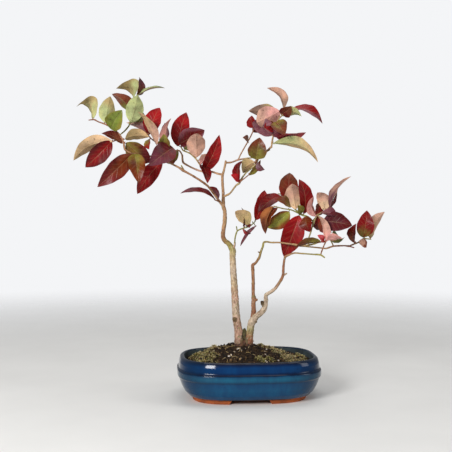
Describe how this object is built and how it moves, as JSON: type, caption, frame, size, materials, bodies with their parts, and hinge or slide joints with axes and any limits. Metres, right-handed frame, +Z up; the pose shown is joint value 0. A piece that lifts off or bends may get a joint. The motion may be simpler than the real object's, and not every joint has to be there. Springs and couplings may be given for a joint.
{
  "type": "blueberry bonsai",
  "caption": "Small bonsai bush with slender forked stems and broad red, green and tan autumn leaves, growing in a glazed oval pot on low feet.",
  "frame": {"origin": "middle of the whole outline seen from above, at the height of the surface the feet stand on", "axes": "+X along the pot's length to the right as seen from the front, +Y to the back, +Z up"},
  "size_m": [0.3412, 0.1198, 0.3501],
  "materials": {
    "pot_glaze": "glossy blue glaze over orange-brown stoneware",
    "screen_plastic": "plain",
    "soil": "rough and damp",
    "bark": "grey-brown bark, redder on young wood",
    "foliage": "leathery leaves, red to olive above and paler tan or pink beneath"
  },
  "bodies": {
    "root": {"pot": "pot_glaze", "drain_screen_left": "screen_plastic", "drain_screen_right": "screen_plastic", "soil": "soil", "trunk": "bark", "shoot_left_leader": "foliage", "shoot_left_crown": "foliage", "shoot_left_inner": "foliage", "shoot_left_back": "foliage", "shoot_left_low": "foliage", "shoot_middle_low": "foliage", "shoot_middle": "foliage", "shoot_high_right": "foliage", "shoot_top": "foliage", "shoot_centre": "foliage", "shoot_right_hub": "foliage", "shoot_right_top": "foliage", "shoot_right_low": "foliage", "shoot_right_middle": "foliage", "shoot_right_spur": "foliage", "shoot_far_right": "foliage"}
  },
  "joints": []
}
